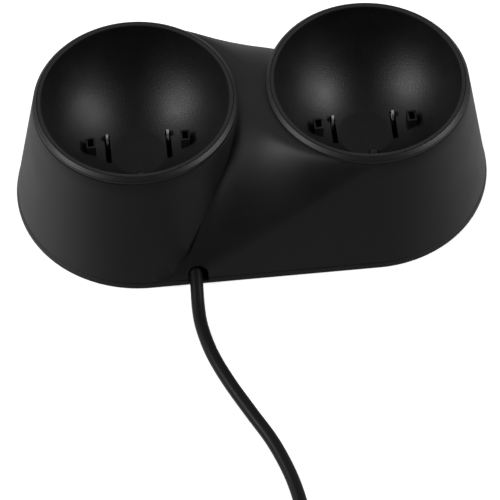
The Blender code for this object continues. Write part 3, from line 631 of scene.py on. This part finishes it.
def liner(side, name):
    """A bowl with its flat floor, two hollow pegs, two contact slots, a window hole and two posts below."""
    floor = bowl_height(FLOOR_R)
    start = math.asin(FLOOR_R / BOWL_R)
    steps = 40
    inner = []
    for k in range(steps + 1):
        a = math.pi / 2 + (start - math.pi / 2) * k / steps
        inner.append((BOWL_R * math.sin(a), RIM_Z - BOWL_R * math.cos(a)))
    under = [(0, floor - FLOOR_THICK), (7.6, floor - FLOOR_THICK)]
    low = math.asin(8.2 / LINER_OUT)
    high = math.asin(LINER_R / LINER_OUT) - 0.01
    for k in range(17):
        a = low + (high - low) * k / 16
        under.append((LINER_OUT * math.sin(a), RIM_Z - LINER_OUT * math.cos(a)))
    under += [(LINER_R, 34.9), (LINER_R, RIM_Z - 0.12), (LINER_R - 0.04, RIM_Z - 0.03),
              (LINER_R - 0.14, RIM_Z)]
    lip = [(BOWL_R + 0.25, RIM_Z), (BOWL_R + 0.08, RIM_Z - 0.07)]
    inner[0] = (BOWL_R, RIM_Z - 0.25)
    outline = under + lip + inner + [(FLOOR_R - 0.25, floor - 0.05), (0, floor - 0.05)]
    x = side * CUP_X
    made = turned(outline, name, LINER, x, around=192)
    for end in (-1, 1):
        add(made, rod(2.0, CUP_BOARD_Z + CUP_BOARD_THICK + GAP, POST_TOP, x, end * POST_Y, around=32))
        cut(made, rod(0.8, 5.0, 13.5, x, end * POST_Y, around=20))
        outline = rounded(PEG_WIDE, PEG_DEEP, 0.28, x + end * PEG_X, PEG_Y, 4)
        add(made, prism(outline, 15.9, PEG_TOP, "peg", None, None, None, 0.12, 2))
        cut(made, box(PEG_WIDE - 2 * PEG_WALL, PEG_DEEP - 2 * PEG_WALL, PEG_FLOOR, 30.0,
                      x + end * PEG_X, PEG_Y))
        middle = (SLOT_BACK + SLOT_FRONT) / 2
        slot = rounded(SLOT_WIDE, SLOT_BACK - SLOT_FRONT, 0.3, x + end * SLOT_X, middle, 3)
        cut(made, prism(slot, 5.0, 19.0))
    cut(made, rod(PIPE_R + 0.1, 5.0, 20.0, *PIPE_SPOTS[side], around=40))
    return dress(made, LINER, 24)


def feet_spots():
    return [(sx * FOOT_X, sy * FOOT_Y) for sx in (-1, 1) for sy in (-1, 1)]


def plate():
    """The base plate: a lip inside the housing, wells for feet and screws, posts for the board and clamp."""
    rim = cone_radius(BASE_Z)
    made = stadium_stack([(rim - 0.35, BASE_Z), (rim - 0.16, BASE_Z + 0.06), (rim - 0.08, BASE_Z + 0.2),
                          (rim - 0.08, BASE_Z + 0.4), (cone_radius(PLATE_TOP - 0.15), PLATE_TOP - 0.15),
                          (cone_radius(PLATE_TOP) - 0.12, PLATE_TOP)], "dock_base", PLATE)
    lip = cone_radius(LIP_TOP) - WALL - 0.45
    wall = stadium_stack([(lip, PLATE_TOP - 0.4), (lip, LIP_TOP)], "cutter")
    add(made, cut(wall, stadium_stack([(lip - 1.2, 1.0), (lip - 1.2, 6.0)], "cutter")))
    # a shallow panel line runs inside the edge of the underside
    line = stadium_stack([(rim - 3.4, 0.0), (rim - 3.4, BASE_Z + 0.35)], "cutter")
    cut(made, cut(line, stadium_stack([(rim - 4.0, -1.0), (rim - 4.0, 3.0)], "cutter")))
    for x, y in pillars():
        cut(made, rod(3.3, PLATE_TOP, 6.0, x, y, around=32))
        cut(made, rod(1.3, 0.0, 3.0, x, y, around=32), rod(2.3, 0.0, 1.3, x, y, around=48))
    for x, y in feet_spots():
        cut(made, rod(4.3, 0.0, 0.9, x, y, around=64))
    for x in (-BOARD_POST_X, BOARD_POST_X):
        add(made, rod(2.4, PLATE_TOP - 0.4, BOARD_POST_TOP, x, BOARD_POST_Y, around=24))
        cut(made, rod(0.85, 1.2, 8.0, x, BOARD_POST_Y, around=16))
    add(made, box(13.0, 6.0, PLATE_TOP - 0.4, CABLE_Z + 0.4, CABLE_X, CLAMP_Y))
    lie = Matrix.Translation((CABLE_X, 0, CABLE_Z)) @ Matrix.Rotation(math.radians(90), 4, "X")
    circle = [(2.0 * math.cos(2 * math.pi * k / 32), 2.0 * math.sin(2 * math.pi * k / 32)) for k in range(32)]
    cut(made, prism(circle, 10.0, 36.0, "cutter", None, None, lie))
    for side in (-1, 1):
        cut(made, rod(0.75, 1.2, 8.0, CABLE_X + side * 4.4, CLAMP_Y, around=16))
    cut(made, notch_cutter())
    return dress(made, PLATE, 24)


# ---------------------------------------------------------------- small pieces
def blade_outline():
    """The contact from the side, as (y, z): a nose, an upright, an arm to the root and a solder tail."""
    nose = []
    for k in range(25):
        a = math.radians(180 - 180 * k / 24)
        nose.append((NOSE_Y + NOSE_R * math.cos(a), NOSE_Z - NOSE_R + NOSE_R * math.sin(a)))
    behind = spline_points([(NOSE_Y + 0.66, 14.2), (NOSE_Y + 0.72, 13.4), (NOSE_Y + 1.0, 12.8),
                            (NOSE_Y + 1.7, ROOT_Z + 0.6)], 10)
    tail = [(ROOT_Y + 0.8, ROOT_Z + 0.6), (ROOT_Y + 0.8, TAIL_LOW), (ROOT_Y - 0.1, TAIL_LOW),
            (ROOT_Y - 0.1, ROOT_Z - 0.6)]
    front = spline_points([(NOSE_Y + 0.7, ROOT_Z - 0.6), (NOSE_Y - 0.1, ROOT_Z - 0.3),
                           (NOSE_Y - 0.55, ROOT_Z + 0.5), (NOSE_Y - 0.66, 13.4), (NOSE_Y - 0.68, 14.2)], 12)
    return nose + behind + tail + front


def contact(x, name):
    lie = Matrix(((0, 0, 1, 0), (1, 0, 0, 0), (0, 1, 0, 0), (0, 0, 0, 1)))
    return prism(blade_outline(), x - BLADE / 2, x + BLADE / 2, name, GOLD, 30, lie, 0.09, 2)


def pipe(x, y, name):
    top = []
    for degrees in range(0, 91, 10):
        a = math.radians(degrees)
        top.append((PIPE_R * math.cos(a), PIPE_TOP - PIPE_DOME * (1 - math.sin(a))))
    return turned([(0, PIPE_LOW), (PIPE_R, PIPE_LOW)] + top, name, WINDOW, x, y, 48, 40)


def foot(x, y, name):
    ring = [(0, 0.12), (2.9, 0.12), (3.1, 0.0), (3.75, 0.0), (3.95, 0.08), (4.0, 0.22), (4.0, 0.72),
            (3.92, 0.8), (0, 0.8)]
    return turned(ring, name, RUBBER, x, y, 64, 40)


def base_screw(x, y, name):
    """A cross-slotted pan-head screw, head down, with a thread of plain rings."""
    bottom = SCREW_HEAD_Z - SCREW_HEAD_DEEP
    outline = [(0, bottom), (0.62 * SCREW_HEAD_R, bottom), (0.8 * SCREW_HEAD_R, bottom + 0.06),
               (0.93 * SCREW_HEAD_R, SCREW_HEAD_Z - 0.62 * SCREW_HEAD_DEEP),
               (SCREW_HEAD_R, SCREW_HEAD_Z - 0.3 * SCREW_HEAD_DEEP), (SCREW_HEAD_R, SCREW_HEAD_Z),
               (0.8, SCREW_HEAD_Z)]
    z = SCREW_HEAD_Z
    while z < SCREW_HEAD_Z + SCREW_THREAD:
        outline += [(0.8, z + 0.12), (0.9, z + 0.27), (0.8, z + 0.42)]
        z += SCREW_PITCH
    outline += [(0.25, SCREW_HEAD_Z + SCREW_LONG), (0, SCREW_HEAD_Z + SCREW_LONG)]
    made = turned(outline, name, STEEL, x, y, 40, 30)
    for wide, deep in ((2.2, 0.42), (0.42, 2.2)):
        cut(made, box(wide, deep, -1.0, bottom + 0.5, x, y))
    return dress(made, STEEL, 30)


# ---------------------------------------------------------------- the lead
def strand_spots():
    """Where the turns lie in the coil's section, outward and up from the middle of the bundle's foot."""
    d = 2 * CABLE_R + 0.04
    rise = d * math.sqrt(3) / 2
    return [(d / 2, LIE_Z), (-d / 2, LIE_Z), (-d, LIE_Z + rise), (0, LIE_Z + rise),
            (-d / 2, LIE_Z + 2 * rise), (d / 2, LIE_Z + 2 * rise), (d, LIE_Z + rise), (1.5 * d + 0.25, LIE_Z)]


def lead_route():
    """From the clamp, out of the doorway, over the table in an easy S, round the coil and on to the plug."""
    knots = [(CABLE_X, -19.6, CABLE_Z), (CABLE_X, -27.0, CABLE_Z), (CABLE_X - 0.1, -34.0, 3.6),
             (CABLE_X - 0.3, -41.0, 2.2), (-17.7, -47.0, LIE_Z), (-15.9, -55.0, LIE_Z),
             (-12.6, -63.5, LIE_Z), (-8.1, -72.8, LIE_Z), (-3.6, -81.8, LIE_Z), (-0.4, -91.0, LIE_Z),
             (1.2, -99.0, LIE_Z), (1.9, -107.0, LIE_Z), (1.9, -115.0, LIE_Z), (1.6, -121.5, LIE_Z),
             (2.1, -129.0, LIE_Z), (2.9, -136.0, LIE_Z)]
    points = [Vector(k) for k in knots]
    spots = strand_spots()
    last = len(spots) - 1
    for k in range(1, round(COIL_TURNS * POINTS_PER_TURN) + 1):
        turn = k / POINTS_PER_TURN
        level = min(int(turn), last)
        share = turn - level
        here = spots[level]
        if level < last and share > CLIMB_FROM:
            s = (share - CLIMB_FROM) / (1 - CLIMB_FROM)
            s = s * s * (3 - 2 * s)
            after = spots[level + 1]
            here = (here[0] + (after[0] - here[0]) * s, here[1] + (after[1] - here[1]) * s)
        radius = COIL_R + here[0]
        a = -2 * math.pi * turn
        points.append(Vector((COIL_X + radius * math.cos(a), COIL_Y + radius * math.sin(a), here[1])))
    points += [Vector((COIL_X - 9.0, TAIL_Y + 0.3, LIE_Z)), Vector((COIL_X - 18.0, TAIL_Y, LIE_Z + 0.2)),
               Vector((COIL_X - 26.0, TAIL_Y, 3.0)), Vector((COIL_X - 33.2, TAIL_Y, PLUG_Z))]
    return points


def lead():
    curve = bpy.data.curves.new("usb_lead", "CURVE")
    curve.dimensions = "3D"
    curve.bevel_depth = CABLE_R * MM
    curve.bevel_resolution = 6
    curve.use_fill_caps = True
    line = curve.splines.new("POLY")
    route = smooth_route(lead_route(), 1.6)
    line.points.add(len(route) - 1)
    for point, place in zip(line.points, route):
        point.co = (*(place * MM), 1.0)
    line.use_smooth = True
    obj = bpy.data.objects.new("usb_lead", curve)
    bpy.context.scene.collection.objects.link(obj)
    curve.materials.append(JACKET)
    return obj


def tie():
    """A hook-and-loop strap round the bundle, with its loose end lapped over."""
    strands = Matrix.Translation((COIL_X - COIL_R, COIL_Y, COIL_THICK + 0.05))
    spin = strands @ Matrix.Rotation(math.radians(90), 4, "X")
    outer, inner = [], []
    flat = -(COIL_THICK + 0.02)
    for k in range(72):
        a = 2 * math.pi * k / 72
        bulge = 0.9 + 0.25 * max(0.0, math.cos(a - 1.2)) ** 6
        outer.append(((COIL_THICK + 0.5 + bulge) * math.cos(a),
                      max((COIL_THICK + 0.45 + bulge) * math.sin(a), flat)))
        inner.append(((COIL_THICK + 0.6) * math.cos(a), max((COIL_THICK + 0.42) * math.sin(a), flat + 0.25)))
    made = prism(outer, -2.1, 2.1, "coil_strap", RUBBER, 35, spin, 0.15, 2)
    cut(made, prism(inner, -6.0, 6.0, "cutter", None, None, spin))
    return dress(made, RUBBER, 35)


def plug():
    """The ribbed grip, the metal shell with its windows and the tongue inside, along the grip's own Z."""
    lie = Matrix(((0, 0, -1, 0), (1, 0, 0, 0), (0, -1, 0, 0), (0, 0, 0, 1)))
    place = Matrix.Translation((PLUG_X, TAIL_Y, PLUG_Z)) @ lie
    mesh = bmesh.new()
    rings = []
    levels = [(0.0, 4.4, 4.4, 0.5), (0.3, 4.9, 4.9, 0.5)]
    for k in range(4):
        s = 0.9 + 1.6 * k
        ridge = (5.1 + 0.3 * k, 5.0 + 0.15 * k, 0.5)
        valley = (4.5 + 0.3 * k, 4.5 + 0.15 * k, 0.5)
        levels += [(s, *ridge), (s + 0.15, *valley), (s + 0.55, *valley), (s + 0.7, *ridge)]
    levels += [(7.3, 6.6, 5.7, 0.45), (7.9, 11.0, 6.7, 0.42), (8.4, 14.4, 7.4, 0.38), (9.2, 15.6, 7.8, 0.34),
               (10.2, 16.0, 8.0, 0.32), (26.6, 15.7, 8.0, 0.32), (27.8, 15.4, 7.8, 0.32),
               (28.4, 14.9, 7.3, 0.32), (28.6, 14.3, 6.8, 0.32)]
    for along, wide, tall, share in levels:
        ring = rounded(wide, tall, min(wide, tall) * share * 0.98, steps=8)
        rings.append([mesh.verts.new((px, py, along)) for px, py in ring])
    for near, far in zip(rings, rings[1:]):
        for k in range(len(near)):
            n = (k + 1) % len(near)
            mesh.faces.new((near[k], near[n], far[n], far[k]))
    mesh.faces.new(rings[0])
    mesh.faces.new(rings[-1])
    bmesh.ops.transform(mesh, matrix=place, verts=mesh.verts)
    grip = finish(mesh, "plug_moulding", JACKET, 40)
    cut(grip, prism(rounded(12.6, 5.1, 0.5, steps=3), 22.0, 34.0, "cutter", None, None, place))
    shell = prism(rounded(12.0, 4.5, 0.55, steps=5), 22.4, 40.6, "plug_metal", NICKEL, 30, place, 0.1, 2)
    cut(shell, prism(rounded(11.3, 3.8, 0.3, steps=4), 24.0, 45.0, "cutter", None, None, place))
    for side in (-1, 1):
        for face in (-1, 1):
            look = Matrix.Rotation(math.radians(-90 * face), 4, "X")
            window = place @ Matrix.Translation((0, 0, 34.6)) @ look
            hole = rounded(2.0, 2.2, 0.2, side * 2.7, 0, steps=2)
            cut(shell, prism(hole, 1.0, 8, "cutter", None, None, window))
    core = rounded(10.6, 1.5, 0.2, 0, 0.95, steps=3)
    tongue = prism(core, 24.4, 39.8, "plug_tongue_core", NYLON, 30, place, 0.1, 2)
    for piece, slot in ((grip, JACKET), (shell, NICKEL), (tongue, NYLON)):
        dress(piece, slot, 32)
    return grip, shell, tongue


# ---------------------------------------------------------------- stage
def stage():
    """A white sweep.  The plastic doesn't mirror it: its reflections come from the studio alone."""
    mesh = bmesh.new()
    run = [(-900.0, 0.0), (-200.0, 0.0), (500.0, 0.0)]
    for k in range(13):
        a = math.radians(90 * k / 12)
        run.append((900.0 + 500.0 * math.sin(a), 500.0 * (1 - math.cos(a))))
    run.append((1400.0, 1500.0))
    rows = [[mesh.verts.new((x, y, z)) for x in (-2400.0, -800.0, 800.0, 2400.0)] for y, z in run]
    for near, far in zip(rows, rows[1:]):
        for k in range(3):
            mesh.faces.new((near[k], near[k + 1], far[k + 1], far[k]))
    made, nodes, links, shader = new_material("pale_sweep", (0.93, 0.93, 0.93), 0.6)
    shader.inputs["Specular IOR Level"].default_value = 0.0
    slow = noise(nodes, links, 1.5, 2.0)
    tone = tinted(nodes, links, slow, (0.925, 0.925, 0.925), (0.935, 0.935, 0.935))
    links.new(tone, shader.inputs["Base Color"])
    shader.inputs["Emission Color"].default_value = (1, 1, 1, 1)
    shader.inputs["Emission Strength"].default_value = 0.7
    sweep = finish(mesh, "sweep", made, 60)
    sweep.visible_glossy = False
    sweep.visible_diffuse = False
    sweep.visible_shadow = False


def area(name, place, target, size, power):
    light = bpy.data.lights.new(name, "AREA")
    light.energy = power
    light.shape = "RECTANGLE"
    light.size = size
    light.size_y = size
    obj = bpy.data.objects.new(name, light)
    bpy.context.scene.collection.objects.link(obj)
    obj.location = place
    obj.rotation_euler = (Vector(target) - Vector(place)).to_track_quat("-Z", "Y").to_euler()


def map_range(nodes, links, value, source, target):
    made = nodes.new("ShaderNodeMapRange")
    made.interpolation_type = "SMOOTHSTEP"
    for name, number in zip(("From Min", "From Max", "To Min", "To Max"), (*source, *target)):
        made.inputs[name].default_value = number
    links.new(value, made.inputs["Value"])
    return made.outputs["Result"]


def product(nodes, links, first, second):
    made = nodes.new("ShaderNodeMath")
    made.operation = "MULTIPLY"
    links.new(first, made.inputs[0])
    links.new(second, made.inputs[1])
    return made.outputs[0]


def studio():
    """The room round the dock: dark in front, bright low at both ends and behind, dim overhead."""
    world = bpy.data.worlds.new("studio")
    bpy.context.scene.world = world
    world.use_nodes = True
    nodes, links = world.node_tree.nodes, world.node_tree.links
    place = nodes.new("ShaderNodeTexCoord")
    axes = nodes.new("ShaderNodeSeparateXYZ")
    links.new(place.outputs["Generated"], axes.inputs["Vector"])
    glow = map_range(nodes, links, axes.outputs["Y"], (-0.92, 0.15), (ROOM_FRONT, ROOM_ENDS))
    upper = map_range(nodes, links, axes.outputs["Y"], (-0.40, 0.55), (ROOM_UPPER, ROOM_BEHIND))
    low = map_range(nodes, links, axes.outputs["Z"], (-0.50, 0.12), (1.0, ROOM_UPPER))
    links.new(upper, low.node.inputs["To Max"])
    left = map_range(nodes, links, axes.outputs["X"], (-0.95, -0.30), (ROOM_LEFT, 1.0))
    strength = product(nodes, links, product(nodes, links, glow, low), left)
    links.new(strength, nodes["Background"].inputs["Strength"])
    nodes["Background"].inputs["Color"].default_value = (1, 1, 1, 1)


def lights():
    studio()
    x, y, z = SOFTBOX_PLACE
    for side, word in ((-1, "left"), (1, "right")):
        area(word + "_softbox", (side * x, y, z), (0, 0, 0.02), SOFTBOX_SIZE, SOFTBOX_POWER)
    scene = bpy.context.scene
    scene.view_settings.view_transform = "Standard"
    scene.view_settings.look = "None"


def camera():
    view = bpy.data.cameras.new("view")
    view.sensor_width = 36.0
    view.lens = LENS
    view.clip_end = 20.0
    obj = bpy.data.objects.new("view", view)
    bpy.context.scene.collection.objects.link(obj)
    turn, lift, lean = (math.radians(a) for a in (CAMERA_TURN, CAMERA_LIFT, CAMERA_LEAN))
    back = Vector((math.sin(turn) * math.cos(lift), -math.cos(turn) * math.cos(lift), math.sin(lift)))
    right = Vector((math.cos(turn), math.sin(turn), 0))
    up = back.cross(right)
    right, up = (math.cos(lean) * right + math.sin(lean) * up,
                 -math.sin(lean) * right + math.cos(lean) * up)
    place = Vector(CAMERA_PLACE) * MM
    obj.matrix_world = Matrix(((right.x, up.x, back.x, place.x), (right.y, up.y, back.y, place.y),
                               (right.z, up.z, back.z, place.z), (0, 0, 0, 1)))
    bpy.context.scene.camera = obj


# ---------------------------------------------------------------- assembly
def put(piece, body, slot, *nodes):
    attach(piece, body)
    if nodes:
        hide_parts(*nodes)
    return piece


def carry_over():
    """Every CAD node that stays gets the finish of its kind."""
    looks = {"inner": INNER, "steel": STEEL, "nickel": NICKEL, "board": BOARD, "chip": CHIP,
             "connector": NYLON, "window": WINDOW, "red": RED, "shell": SHELL, "liner": LINER,
             "rubber": RUBBER, "cable": JACKET, "gold": GOLD}
    slots = {part["node"]: part["material_slot"] for part in frame["record"]["subparts"]}
    for name, obj in frame["nodes"].items():
        obj.data.materials.clear()
        obj.data.materials.append(looks[slots[name]])
        for polygon in obj.data.polygons:
            polygon.use_smooth = False


carry_over()
camera()
stage()
lights()

cord = lead()
strap = put(tie(), "dock", "rubber", "coil_tie")
grip, metal_shell, core = plug()
put(grip, "dock", "cable", "plug_grip")
put(metal_shell, "dock", "nickel", "plug_shell")
put(core, "dock", "connector", "plug_tongue")
put(cord, "dock", "cable", "usb_cable", "cable_coil", "usb_cable_tail")

put(housing(), "dock", "shell", "upper_housing")
put(plate(), "dock", "shell", "base_plate")
for side, word in ((-1, "left"), (1, "right")):
    put(liner(side, "bowl_" + word), "dock", "liner", "cup_liner_" + word)
    put(pipe(*PIPE_SPOTS[side], "indicator_" + word), "dock", "window", "light_pipe_" + word)
    for hand in ("outer", "inner"):
        node = f"contact_spring_{word}_{hand}"
        low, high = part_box(node)
        put(contact((low[0] + high[0]) / 2 / MM, f"contact_{word}_{hand}"), node, "gold", node)
for k, (x, y) in enumerate(feet_spots()):
    put(foot(x, y, f"rubber_foot_{k + 1}"), "dock", "rubber", f"foot_{k + 1}")
for k, (x, y) in enumerate(pillars()):
    put(base_screw(x, y, f"screw_{k + 1}"), "dock", "steel", f"base_screw_{k + 1}")
